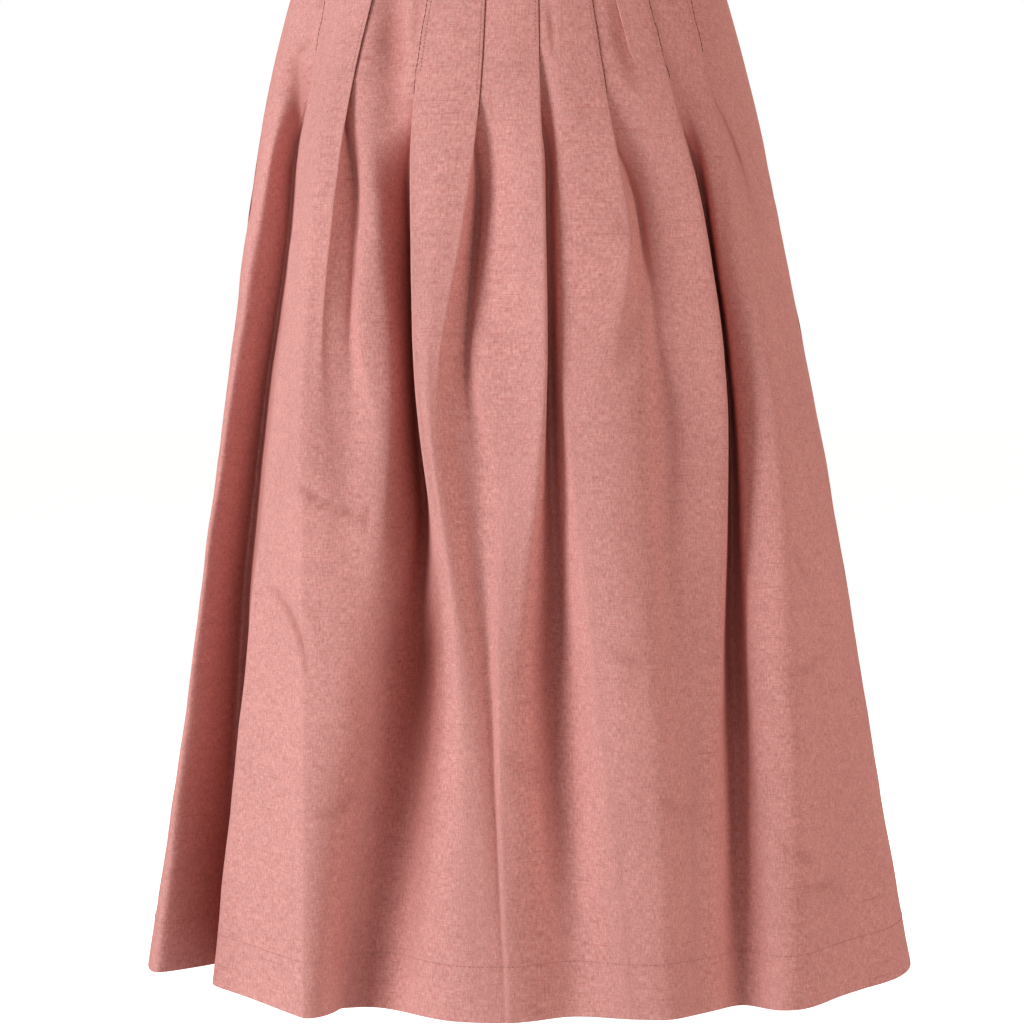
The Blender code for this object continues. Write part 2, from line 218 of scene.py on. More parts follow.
# The waistband: its steps round the waist and up its height, how thin its edges are beside its
# middle, how round they are, how far its under end passes beneath, and its stitches' place
BAND_STATIONS = 300
BAND_STEPS = 13
BAND_EDGE_SHARE = 0.80
BAND_ROUND = 1.2
BAND_UNDER = 0.7
BAND_STITCHES_IN = 2.0
BUTTONHOLE_REACH = 9.5
BUTTONHOLE_STITCHES = 44


def along(levels, values, at):
    """A smooth curve through a table's values, held level past its ends."""
    at = min(max(at, levels[0]), levels[-1])
    i = min(bisect_right(levels, at) - 1, len(levels) - 2)

    def slope(k):
        low, high = max(k - 1, 0), min(k + 1, len(levels) - 1)
        return (values[high] - values[low]) / (levels[high] - levels[low])

    span = levels[i + 1] - levels[i]
    t = (at - levels[i]) / span
    return (
        values[i] * (1 + 2 * t) * (1 - t) ** 2
        + slope(i) * span * t * (1 - t) ** 2
        + values[i + 1] * t * t * (3 - 2 * t)
        + slope(i + 1) * span * t * t * (t - 1)
    )


def eased(t):
    t = min(max(t, 0.0), 1.0)
    return t * t * (3 - 2 * t)


class Section:
    """The skirt's outline at one height: half an ellipse in front, half behind."""

    def __init__(self, below):
        def size(column):
            return along([row.below for row in OUTLINE], [getattr(row, column) for row in OUTLINE], below)

        self.middle = (size("high_x") - size("low_x")) / 2
        self.half = (size("high_x") + size("low_x")) / 2
        self.front = size("front")
        self.back = size("back")

    def round_the_body(self, turn, out=0.0):
        """The place at an angle from the +X seam, past the front, moved out along the normal."""
        deep = self.front if math.sin(turn) > 0 else self.back
        across, ahead = math.cos(turn), -math.sin(turn)
        normal = Vector((across / self.half, ahead / deep)).normalized()
        return Vector((self.middle + self.half * across, deep * ahead)) + normal * out


def blended(places, others, share):
    return [(a + (c - a) * share, b + (d - b) * share) for (a, b), (c, d) in zip(places, others)]


def pleat_keys(pleat, below):
    """(x, out) of a fading pleat's edge and valley at one height, in order of +X."""
    edge = along(LEVELS, pleat.edge, below), along(LEVELS, pleat.lift, below)
    valley = along(LEVELS, pleat.valley, below), edge[1] - along(LEVELS, pleat.depth, below)
    if pleat.fades > LENGTH:
        return ()
    return (edge, valley) if pleat.way > 0 else (valley, edge)


def pleat_points(pleat, below, crest_behind, crest_beyond, wave):
    """(x, out) of a pleat's fold at one height, in order of +X, between two panels' crests."""
    way = pleat.way
    edge = along(LEVELS, pleat.edge, below)
    tuck = edge - way * pleat.tuck
    lip = way * FLAT_ROUND
    stitched = (
        (edge - lip, 0),
        (edge, 0),
        (edge, -LAYER_STEP),
        (edge - lip, -LAYER_STEP),
        (tuck + lip, -LAYER_STEP),
        (tuck, -LAYER_STEP),
        (tuck, -2 * LAYER_STEP),
        (tuck + lip, -2 * LAYER_STEP),
        (edge + lip, -2 * LAYER_STEP),
    )
    valley = along(LEVELS, pleat.valley, below)
    lift = along(LEVELS, pleat.lift, below)
    deep = along(LEVELS, pleat.depth, below)
    lip = along(LEVELS, EDGE_ROUND, below)
    bend = along(LEVELS, VALLEY_ROUND, below)
    room = max(way * (valley - edge) / (lip / 3 + bend), deep / (lip + bend))
    lip = min(lip, FOLD_ROOM * lip * room, EDGE_ROOM * abs(edge - crest_behind))
    bend = min(bend, FOLD_ROOM * bend * room, VALLEY_ROOM * abs(crest_beyond - valley))
    floor = lift - deep
    opened = (
        (edge - way * lip, lift),
        (edge - way * lip / 3, lift),
        (edge + way * lip / 4, lift - min(lip, deep) / 3),
        (edge + way * lip / 3, lift - min(lip, deep / 2)),
        (valley - way * bend * 0.8, floor + min(bend, deep / 3)),
        (valley - way * bend / 3, floor),
        (valley + way * bend / 3, floor),
        (valley + way * bend * 0.8, floor + min(bend, deep / 3)),
        (valley + way * bend * 1.3, floor + min(2.2 * bend, deep / 2)),
    )
    closed = 1 - min(max((below - pleat.stitched) / OPENING_LENGTH, 0), 1)
    points = blended(stitched, opened, 1 - closed**2)
    faded = eased((below - pleat.fades) / FADING_LENGTH)
    if faded > 0:
        step = (crest_beyond - crest_behind) / (len(points) + 1)
        places = [crest_behind + step * (i + 1) for i in range(len(points))]
        points = blended(points, [(x, wave(x)) for x in places], faded)
    return points if way > 0 else points[::-1]


def panel_plan(below, pleats, behind):
    """A panel's plan at one height, from seam to seam, always facing -Y."""
    section = Section(below)
    deep = section.back if behind else section.front

    def on_outline(x, out=0.0):
        share = min(abs(x - section.middle) / section.half, 1.0)
        ahead = math.sqrt(1 - share * share)
        lean = math.hypot(1, deep / section.half * share / max(ahead, LEAST_AHEAD))
        return x, deep * ahead + out * lean

    def round_the_side(way, x):
        turn = math.acos(min(way * (x - section.middle) / section.half, 1.0))
        for share in SIDE_SHARES:
            across, ahead = math.cos(turn * share), math.sin(turn * share)
            yield section.middle + way * section.half * across, deep * ahead + SEAM_GAP / 2

    crests = [along(LEVELS, crest, below) for crest in (SIDE_CREST, *(pleat.crest for pleat in pleats))]
    keys = [(crests[0], 0.0)]
    for pleat, crest in zip(pleats, crests[1:]):
        keys += [*pleat_keys(pleat, below), (crest, along(LEVELS, pleat.rise, below))]

    def wave(x):
        """The smooth wave through the folds' edges, valleys and crests."""
        return along([key[0] for key in keys], [key[1] for key in keys], x)

    plan = [*round_the_side(-1, crests[0]), on_outline(crests[0])]
    last_rise = 0.0
    for pleat, before, after in zip(pleats, crests, crests[1:]):
        sides = (before, after) if pleat.way > 0 else (after, before)
        fold = pleat_points(pleat, below, *sides, wave)
        rise = along(LEVELS, pleat.rise, below)
        halfway = ((before + fold[0][0]) / 2, (last_rise + fold[0][1]) / 2)
        plan += [on_outline(*place) for place in (halfway, *fold, (after, rise))]
        last_rise = rise
    plan += list(round_the_side(1, crests[-1]))[::-1]
    plan = np.array(plan)
    plan[:, 1] *= -1
    if behind:
        plan[:, 0] = 2 * section.middle - plan[:, 0]
        plan[:, 1] *= -1
    return plan


def back_pleats():
    """The front's pleats with the back's own changes."""
    changed = []
    for pleat, change in zip(FRONT_PLEATS, BACK_CHANGES):
        shifts = [change.shift + change.sway * eased(below / LENGTH) for below in LEVELS]
        moved = {
            name: tuple(x + shift for x, shift in zip(getattr(pleat, name), shifts))
            for name in ("edge", "valley", "crest")
        }
        depth = tuple(deep * change.deepen if deep > 0 else deep for deep in pleat.depth)
        changed.append(pleat._replace(depth=depth, stitched=change.stitched, **moved))
    return changed


def sampled(plan, counts):
    """The cubic B-spline of a plan, with so many places in each of its spans."""
    first, last = 2 * plan[0] - plan[1], 2 * plan[-1] - plan[-2]
    points = np.vstack((first, plan, last))
    spans = np.repeat(np.arange(len(counts)), counts)
    t = np.concatenate([np.arange(count) / count for count in counts])
    spans, t = np.append(spans, len(counts) - 1), np.append(t, 1.0)
    t = t[:, None]
    return (
        (1 - t) ** 3 * points[spans]
        + (3 * t**3 - 6 * t**2 + 4) * points[spans + 1]
        + (-3 * t**3 + 3 * t**2 + 3 * t + 1) * points[spans + 2]
        + t**3 * points[spans + 3]
    ) / 6


def soft_noise(u, v, size_u, size_v, seed):
    """Smooth noise between -1 and 1 over a sheet, in lumps of the given size."""
    grid = np.random.RandomState(seed).uniform(-1, 1, (NOISE_CELLS, NOISE_CELLS))
    x, y = np.asarray(u) / size_u + 40.3, np.asarray(v) / size_v + 7.7
    i, j = np.floor(x).astype(int), np.floor(y).astype(int)
    s, t = x - i, y - j
    s, t = s * s * (3 - 2 * s), t * t * (3 - 2 * t)
    i, j, i1, j1 = (cell % NOISE_CELLS for cell in (i, j, i + 1, j + 1))
    low = grid[i, j] * (1 - s) + grid[i1, j] * s
    high = grid[i, j1] * (1 - s) + grid[i1, j1] * s
    return low * (1 - t) + high * t


def plan_normals(rows):
    """The outward normals of rows of places, each seen in plan."""
    ahead = np.gradient(rows, axis=1)
    ahead /= np.maximum(np.linalg.norm(ahead, axis=2, keepdims=True), 1e-9)
    return np.stack((ahead[..., 1], -ahead[..., 0]), axis=2)


class Panel:
    """A panel's fine rows of places on its form, with where each is on the flat cloth."""

    def __init__(self, pleats, creases, behind, seed):
        self.pleats, self.behind = pleats, behind
        close_step, close_to = ROWS_CLOSE
        lowest = LENGTH - LAST_ROWS[0]
        self.belows = np.concatenate((
            np.arange(ROWS_TOP, close_to, close_step),
            np.linspace(close_to, lowest, round((lowest - close_to) / ROWS_WIDE)),
            [LENGTH - above for above in LAST_ROWS[1:]],
        ))
        plans = [panel_plan(max(below, BAND_HEIGHT), pleats, behind) for below in self.belows]
        longest = np.max([np.linalg.norm(np.diff(plan, axis=0), axis=1) for plan in plans], axis=0)
        counts = np.clip(np.ceil(longest / COLUMN_STEP), LEAST_COLUMNS, MOST_COLUMNS).astype(int)
        self.rows = np.array([sampled(plan, counts) for plan in plans])
        self.knots = np.concatenate(([0], np.cumsum(counts)))
        steps = np.linalg.norm(np.diff(self.rows, axis=1), axis=2)
        self.across = np.concatenate(([0.0], np.cumsum(steps.mean(axis=0))))
        self.settle(creases, seed)
        self.normals = plan_normals(self.rows)

    def settle(self, creases, seed):
        """Moves the cloth in and out: broad unevenness, and each crease on the side that shows; also works
        out the painted shade of each place, deep in folds and in creases.
        """
        below = np.repeat(self.belows[:, None], self.rows.shape[1], axis=1)
        x = self.rows[..., 0]
        free = np.clip((below - BAND_HEIGHT) / LOOSE_AFTER, 0, 1)
        out = free * sum(
            lump.deep * soft_noise(x, below, lump.wide, lump.long, seed + number)
            for number, lump in enumerate(UNEVENNESS)
        )
        outwards = 1 if self.behind else -1
        facing = np.clip(plan_normals(self.rows)[..., 1] * outwards * FACING_GAIN, 0, 1)
        # Painted shade in creases: how dark each crease's trough is painted
        crease_shading = np.zeros_like(out)
        for number, crease in enumerate(creases):
            start = np.array((crease.x, crease.below), float)
            run = np.array((crease.to_x, crease.to_below)) - start
            length = np.hypot(*run)
            run /= length
            dx, dz = self.rows[..., 0] - start[0], below - start[1]
            t = (dx * run[0] + dz * run[1]) / length
            aside = dx * -run[1] + dz * run[0]
            aside = aside - crease.bow * np.sin(np.pi * np.clip(t, 0, 1))
            aside = aside - CREASE_WANDER * soft_noise(t * length, number * 50.0, 14, 30, seed + 9)
            taper = np.clip(np.sin(np.pi * np.clip(t, 0, 1)), 0, 1) ** CREASE_TAPER
            trough = facing * taper * np.exp(-((aside / (crease.wide / 2)) ** 2))
            out = out - crease.deep * trough
            crease_shading = np.maximum(crease_shading, trough * min(max(crease.deep / CREASE_FULL, 0), 1))
        # Painted shade: the deeper the cloth lies inside the outline, the darker it is painted, and darker
        # too in creases
        sections = [Section(at) for at in self.belows]
        middle = np.array([section.middle for section in sections])[:, None]
        half = np.array([section.half for section in sections])[:, None]
        deep = np.array([section.back if self.behind else section.front for section in sections])[:, None]
        ahead = np.stack(((x - middle) * (deep / half) ** 2, self.rows[..., 1]), axis=2)
        ahead /= np.linalg.norm(ahead, axis=2, keepdims=True)
        inside = (1 - np.hypot((x - middle) / half, self.rows[..., 1] / deep)) * deep
        self.painted_shade = np.clip((inside - PAINTED_SHADE_FROM) / (PAINTED_SHADE_FULL - PAINTED_SHADE_FROM), 0, 1)
        self.painted_shade = np.maximum(self.painted_shade, CREASE_SHADE * crease_shading)
        self.rows = self.rows + ahead * out[..., None]

    def place(self, row, column, out=0.0):
        """A place on the cloth, in metres, and its outward normal, by row and column numbers."""
        i, j = min(int(row), len(self.rows) - 2), min(int(column), self.rows.shape[1] - 2)
        s, t = row - i, column - j
        mix = ((1 - s) * (1 - t), (1 - s) * t, s * (1 - t), s * t)
        corners = ((i, j), (i, j + 1), (i + 1, j), (i + 1, j + 1))
        xy = sum(m * self.rows[c] for m, c in zip(mix, corners))
        normal = sum(m * self.normals[c] for m, c in zip(mix, corners))
        below = self.belows[i] * (1 - s) + self.belows[i + 1] * s
        normal = Vector((*normal, 0)).normalized()
        return (Vector((*xy, -below)) + normal * out) * MM, normal

    def row_at(self, below):
        i = min(max(int(np.searchsorted(self.belows, below)) - 1, 0), len(self.belows) - 2)
        return i + (below - self.belows[i]) / (self.belows[i + 1] - self.belows[i])

    def column_at(self, row, x):
        """The column where the outermost cloth of a row crosses x."""
        line = self.rows[int(round(row))]
        ends = line[:-1, 0] - x, line[1:, 0] - x
        hits = np.nonzero(ends[0] * ends[1] <= 0)[0]
        side = 1 if self.behind else -1
        best = max(hits, key=lambda j: side * line[j, 1])
        return best + ends[0][best] / (ends[0][best] - ends[1][best] or 1)


def new_object(name, places, faces, material, smooth=True):
    mesh = bpy.data.meshes.new(name)
    mesh.from_pydata([tuple(place) for place in places], [], faces)
    if smooth:
        mesh.shade_smooth()
    mesh.materials.append(material)
    obj = bpy.data.objects.new(name, mesh)
    bpy.context.scene.collection.objects.link(obj)
    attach(obj, "root")
    return obj


def grid_faces(rows, columns):
    faces = []
    for i in range(rows - 1):
        for j in range(columns - 1):
            a = i * columns + j
            faces.append((a, a + columns, a + columns + 1, a + 1))
    return faces


def give_uv(obj, u, v):
    """A map of where each place is on the flat cloth, in metres."""
    layer = obj.data.uv_layers.new(name="Flat cloth")
    corners = np.empty(len(obj.data.loops), int)
    obj.data.loops.foreach_get("vertex_index", corners)
    flat = np.stack((np.ravel(u)[corners], np.ravel(v)[corners]), axis=1)
    layer.data.foreach_set("uv", flat.ravel())


def make_cloth(name, panel, material):
    """One sheet: the outside, the hem turned up behind it, and the seam allowances turned in."""
    inset = CLOTH_FOLD
    hem_rows = [i for i, below in enumerate(panel.belows) if below > LENGTH - HEM_DEPTH][::-1][1:]
    z = [-below for below in panel.belows] + [-LENGTH] + [-panel.belows[i] for i in hem_rows]
    last = len(panel.belows) - 1
    outside = [panel.rows, (panel.rows[last] - panel.normals[last] * inset / 2)[None]]
    turned = np.array([panel.rows[i] - panel.normals[i] * inset for i in hem_rows])
    rows = np.concatenate((*outside, turned))
    normals = plan_normals(rows)
    depth = [*panel.belows, LENGTH + HEM_TURN, *[2 * LENGTH - panel.belows[i] for i in hem_rows]]

    step = np.linalg.norm(np.diff(rows, axis=1), axis=2)
    run = np.concatenate((np.zeros((len(rows), 1)), np.cumsum(step, axis=1)), axis=1)
    left, right = [], []
    for reach in ALLOWANCE_STEPS:
        under = inset if reach else inset / 2
        one, other = [], []
        for i in range(len(rows)):
            for side, at in ((one, reach), (other, run[i, -1] - reach)):
                x, y = (np.interp(at, run[i], rows[i, :, k]) for k in (0, 1))
                nx, ny = (np.interp(at, run[i], normals[i, :, k]) for k in (0, 1))
                side.append((x - nx * under, y - ny * under))
        left.append(one)
        right.append(other)
    left = np.array(left[::-1]).transpose(1, 0, 2)
    right = np.array(right).transpose(1, 0, 2)
    rows = np.concatenate((left, rows, right), axis=1)
    u = np.concatenate((
        -np.array(ALLOWANCE_STEPS[::-1]), panel.across, panel.across[-1] + np.array(ALLOWANCE_STEPS)
    ))
    count, columns = rows.shape[:2]
    places = np.concatenate((rows, np.repeat(np.array(z)[:, None], columns, axis=1)[..., None]), axis=2)
    faces = grid_faces(count, columns)
    obj = new_object(name, places.reshape(-1, 3) * MM, faces, material)
    down = np.repeat(np.array(depth)[:, None], columns, axis=1)
    give_uv(obj, np.repeat(u[None, :], count, axis=0) * MM, down * MM)
    # The painted shade of each place goes to the material as a point attribute
    painted_shade = np.concatenate((panel.painted_shade, panel.painted_shade[[last]], panel.painted_shade[hem_rows]))
    painted_shade = np.pad(painted_shade, ((0, 0), (len(ALLOWANCE_STEPS), len(ALLOWANCE_STEPS))), mode="edge")
    obj.data.attributes.new("Painted shade", "FLOAT", "POINT").data.foreach_set("value", painted_shade.ravel())
    return obj


class Thread:
    """Stitches gathered into one mesh: each a short bowed tube with ends that go into the cloth."""

    SIDES = 5
    RINGS = ((0.0, -0.25, 0.6), (0.25, 0.16, 1.0), (0.5, 0.24, 1.05), (0.75, 0.16, 1.0), (1.0, -0.25, 0.6))

    def __init__(self):
        self.places, self.faces = [], []

    def stitch(self, start, end, normal, radius=0.2):
        run = end - start
        if run.length < 1e-6:
            return
        beside = run.normalized().cross(normal).normalized()
        first = len(self.places)
        for t, high, wide in self.RINGS:
            middle = start + run * t + normal * high * MM
            for side in range(self.SIDES):
                turn = 2 * math.pi * side / self.SIDES
                spoke = beside * math.cos(turn) + normal * math.sin(turn)
                self.places.append(middle + spoke * radius * wide * MM)
        for ring in range(len(self.RINGS) - 1):
            for side in range(self.SIDES):
                a = first + ring * self.SIDES + side
                b = first + ring * self.SIDES + (side + 1) % self.SIDES
                self.faces.append((a, b, b + self.SIDES, a + self.SIDES))

    def seam(self, places, kind=TOP_STITCHING):
        """Stitches along a line of (place, normal), a pitch apart."""
        pitch, gap, radius = kind
        at = [0.0]
        for (a, _), (b, _) in zip(places, places[1:]):
            at.append(at[-1] + (b - a).length / MM)

        def on_line(where):
            i = min(max(bisect_right(at, where) - 1, 0), len(at) - 2)
            t = (where - at[i]) / max(at[i + 1] - at[i], 1e-9)
            return places[i][0].lerp(places[i + 1][0], t), places[i][1].lerp(places[i + 1][1], t)

        where = 0.0
        while where + pitch - gap < at[-1]:
            start, normal = on_line(where)
            end, _ = on_line(where + pitch - gap)
            self.stitch(start, end, normal, radius)
            where += pitch

    def finished(self, name, material):
        return new_object(name, self.places, self.faces, material)


def seam_shadow_threads(name, panel, material):
    """A fine thread beside each stitched pleat's edge, darkened to paint the shadow in the seam's ditch as
    a fine dark line, and in front the side seams' stitches, sunk between the panels, in the same dark
    thread as painted shadow."""
    thread = Thread()
    for pleat in panel.pleats:
        places = []
        below = BAND_HEIGHT + 0.6
        while below <= pleat.stitched + SEAM_BELOW_STITCHING:
            x = along(LEVELS, pleat.edge, below) + pleat.way * SEAM_BESIDE_EDGE
            if panel.behind:
                x = 2 * Section(below).middle - x
            row = panel.row_at(below)
            places.append(panel.place(row, panel.column_at(row, x), PLEAT_SEAM_OUT))
            below += 4
        thread.seam(places, PLEAT_SEAM)
    for column in () if panel.behind else (0, panel.rows.shape[1] - 1):
        rows = [panel.row_at(below) for below in range(BAND_HEIGHT + 1, LENGTH - 1, 6)]
        thread.seam([panel.place(row, column, SIDE_SEAM_OUT) for row in rows], SIDE_SEAM)
    return thread.finished(name, material)


def panel_sewing(name, panel, material):
    """The edge stitching that holds each pleat down, and the hem's stitching."""
    thread = Thread()
    for pleat in panel.pleats:
        places = []
        below = BAND_HEIGHT + 1.5
        while below <= pleat.stitched - 1:
            edge = along(LEVELS, pleat.edge, below)
            x = edge - pleat.way * EDGE_INSET
            if panel.behind:
                x = 2 * Section(below).middle - x
            row = panel.row_at(below)
            places.append(panel.place(row, panel.column_at(row, x), THREAD_OUT))
            below += 3
        thread.seam(places)
    row = panel.row_at(LENGTH - HEM_DEPTH)
    places = [panel.place(row, column, THREAD_OUT) for column in range(panel.rows.shape[1])]
    thread.seam(places, HEM_STITCHING)
    return thread.finished(name, material)


def shader_nodes(material):
    material.use_nodes = True
    tree = material.node_tree
    tree.nodes.clear()
    output = tree.nodes.new("ShaderNodeOutputMaterial")
    shader = tree.nodes.new("ShaderNodeBsdfPrincipled")
    tree.links.new(shader.outputs[0], output.inputs[0])
    return tree, shader


class Nodes:
    """Short calls for the nodes of one material."""

    def __init__(self, tree):
        self.tree = tree

    def new(self, kind, **inputs):
        node = self.tree.nodes.new(kind)
        for name, value in inputs.items():
            self.give(node.inputs[name.replace("_", " ")], value)
        return node

    def give(self, socket, value):
        if isinstance(value, bpy.types.NodeSocket):
            self.tree.links.new(value, socket)
        else:
            socket.default_value = value

    def math(self, operation, a, b=None, c=None):
        node = self.tree.nodes.new("ShaderNodeMath")
        node.operation = operation
        for socket, value in zip(node.inputs, (a, b, c)):
            if value is not None:
                self.give(socket, value)
        return node.outputs[0]

    def mix(self, share, a, b, blend="MIX"):
        node = self.tree.nodes.new("ShaderNodeMix")
        node.data_type = "RGBA"
        node.blend_type = blend
        self.give(node.inputs[0], share)
        self.give(node.inputs[6], a)
        self.give(node.inputs[7], b)
        return node.outputs[2]

    def noise(self, u, v, u_scale, v_scale, detail=2.0, roughness=0.5, shift=0.0):
        place = self.new("ShaderNodeCombineXYZ", X=self.math("MULTIPLY", u, u_scale),
                         Y=self.math("MULTIPLY", v, v_scale), Z=shift)
        node = self.new("ShaderNodeTexNoise", Vector=place.outputs[0], Scale=1.0, Detail=detail,
                        Roughness=roughness)
        return node.outputs[0]

    def ramp(self, value, low, high, to_low=0.0, to_high=1.0):
        node = self.new("ShaderNodeMapRange", Value=value)
        names = ("From Min", "From Max", "To Min", "To Max")
        for name, number in zip(names, (low, high, to_low, to_high)):
            node.inputs[name].default_value = number
        return node.outputs[0]


# The linen's colours, the tint of the painted shade in folds and creases, and how far apart its threads
# repeat, in metres
DEEP_ROSE = (0.535, 0.175, 0.152, 1)
ROSE = (0.750, 0.370, 0.343, 1)
PALE_ROSE = (0.810, 0.420, 0.382, 1)
DOWN_SLUB = (0.480, 0.145, 0.120, 1)
ACROSS_SLUB = (0.500, 0.155, 0.130, 1)
FLECK = (0.880, 0.600, 0.550, 1)
PAINTED_SHADE_TINT = (0.50, 0.30, 0.26, 1)
WEAVE_REPEAT = 0.00068


def linen(name):
    """Plain-weave linen: rose threads one way and paler ones the other, with slubs and flecks, and painted
    shade deep in folds and in creases.
    """
    material = bpy.data.materials.new(name)
    tree, shader = shader_nodes(material)
    nodes = Nodes(tree)
    place = nodes.new("ShaderNodeUVMap")
    place.uv_map = "Flat cloth"
    split = nodes.new("ShaderNodeSeparateXYZ", Vector=place.outputs[0])
    u, v = split.outputs[0], split.outputs[1]

    down_threads = nodes.noise(u, v, 1250.0, 240.0, detail=3.0, roughness=0.6)
    across_threads = nodes.noise(u, v, 240.0, 1250.0, detail=3.0, roughness=0.6, shift=5.0)
    down_slubs = nodes.ramp(nodes.noise(u, v, 640.0, 34.0, shift=11.0), 0.60, 0.80)
    across_slubs = nodes.ramp(nodes.noise(u, v, 34.0, 640.0, shift=17.0), 0.60, 0.80)
    flecks = nodes.ramp(nodes.noise(u, v, 560.0, 420.0, detail=4.0, roughness=0.65, shift=23.0), 0.56, 0.74)
    mottle = nodes.noise(u, v, 150.0, 110.0, detail=4.0, roughness=0.6, shift=37.0)
    broad = nodes.noise(u, v, 14.0, 9.0, detail=4.0, shift=31.0)

    colour = nodes.mix(nodes.ramp(down_threads, 0.33, 0.67), DEEP_ROSE, ROSE)
    colour = nodes.mix(nodes.ramp(across_threads, 0.33, 0.67, 0.0, 0.62), colour, PALE_ROSE)
    colour = nodes.mix(nodes.math("MULTIPLY", down_slubs, 0.35), colour, DOWN_SLUB)
    colour = nodes.mix(nodes.math("MULTIPLY", across_slubs, 0.50), colour, ACROSS_SLUB)
    colour = nodes.mix(nodes.math("MULTIPLY", flecks, 0.62), colour, FLECK)
    broad_shade = nodes.ramp(broad, 0.3, 0.7, 0.95, 1.04)
    shade = nodes.math("MULTIPLY", broad_shade, nodes.ramp(mottle, 0.3, 0.7, 0.93, 1.065))
    value = nodes.new("ShaderNodeHueSaturation", Color=colour, Value=shade)
    # Painted shade: deep in the folds and in creases the colour is multiplied darker and redder
    painted_shade = tree.nodes.new("ShaderNodeAttribute")
    painted_shade.attribute_name = "Painted shade"
    colour = nodes.mix(painted_shade.outputs["Fac"], value.outputs[0], PAINTED_SHADE_TINT, "MULTIPLY")
    tree.links.new(colour, shader.inputs["Base Color"])

    pitch = 2 * math.pi / WEAVE_REPEAT
    wave_down = nodes.math("SINE", nodes.math("MULTIPLY", u, pitch))
    wave_across = nodes.math("SINE", nodes.math("MULTIPLY", v, pitch))
    weave = nodes.math("MULTIPLY", wave_down, wave_across)
    height = nodes.math("MULTIPLY", weave, 0.16)
    height = nodes.math("MULTIPLY_ADD", down_threads, 0.35, height)
    height = nodes.math("MULTIPLY_ADD", across_threads, 0.35, height)
    height = nodes.math("MULTIPLY_ADD", nodes.math("ADD", down_slubs, across_slubs), 0.22, height)
    crumple = nodes.noise(u, v, 95.0, 80.0, detail=3.0, roughness=0.55, shift=41.0)
    fine = nodes.new("ShaderNodeBump", Strength=0.55, Distance=0.0004, Height=height)
    rough = nodes.new("ShaderNodeBump", Strength=0.5, Distance=0.0012, Height=crumple,
                      Normal=fine.outputs[0])
    tree.links.new(rough.outputs[0], shader.inputs["Normal"])
    shader.inputs["Roughness"].default_value = 0.92
    shader.inputs["Specular IOR Level"].default_value = 0.12
    shader.inputs["Sheen Weight"].default_value = 0.04
    shader.inputs["Sheen Roughness"].default_value = 0.5
    shader.inputs["Sheen Tint"].default_value = (0.95, 0.60, 0.55, 1)
    return material


def thread_material(name, light, dark):
    """Spun thread: fine twist across its length."""
    material = bpy.data.materials.new(name)
    tree, shader = shader_nodes(material)
    nodes = Nodes(tree)
    place = nodes.new("ShaderNodeTexCoord")
    twist = nodes.new("ShaderNodeTexNoise", Vector=place.outputs["Object"], Scale=1800.0, Detail=2.0)
    colour = nodes.mix(nodes.ramp(twist.outputs[0], 0.35, 0.65), dark, light)
    tree.links.new(colour, shader.inputs["Base Color"])
    bump = nodes.new("ShaderNodeBump", Strength=0.5, Distance=0.0001, Height=twist.outputs[0])
    tree.links.new(bump.outputs[0], shader.inputs["Normal"])
    shader.inputs["Roughness"].default_value = 0.7
    shader.inputs["Sheen Weight"].default_value = 0.1
    return material


def button_material(name):
    """Dyed shell-like resin: faint clouds and fine turning marks."""
    material = bpy.data.materials.new(name)
    tree, shader = shader_nodes(material)
    nodes = Nodes(tree)
    place = nodes.new("ShaderNodeTexCoord")
    clouds = nodes.new("ShaderNodeTexNoise", Vector=place.outputs["Object"], Scale=160.0, Detail=4.0,
                       Distortion=1.2)
    dark, light = (0.300, 0.110, 0.095, 1), (0.430, 0.200, 0.175, 1)
    colour = nodes.mix(nodes.ramp(clouds.outputs[0], 0.35, 0.65), dark, light)
    tree.links.new(colour, shader.inputs["Base Color"])
    marks = nodes.new("ShaderNodeTexNoise", Vector=place.outputs["Object"], Scale=900.0, Detail=2.0)
    tree.links.new(nodes.ramp(marks.outputs[0], 0.3, 0.7, 0.3, 0.42), shader.inputs["Roughness"])
    bump = nodes.new("ShaderNodeBump", Strength=0.15, Distance=0.0001, Height=marks.outputs[0])
    tree.links.new(bump.outputs[0], shader.inputs["Normal"])
    return material


def band_out(turn):
    """How far the band's middle stands out: its under end passes beneath the upper one."""
    return BAND_MIDDLE - (BAND_THICK + BAND_UNDER) * eased((turn - (2 * math.pi - 0.30)) / 0.28)


def band_place(turn, below, out=0.0):
    """A place on the band's middle surface, in metres, moved out, and its outward normal."""
    section = Section(below)
    middle = section.round_the_body(turn, band_out(turn) + out)
    base = section.round_the_body(turn, band_out(turn))
    beyond = section.round_the_body(turn, band_out(turn) + 1.0)
    normal = Vector((*(beyond - base), 0)).normalized()
    return Vector((*middle, -below)) * MM, normal


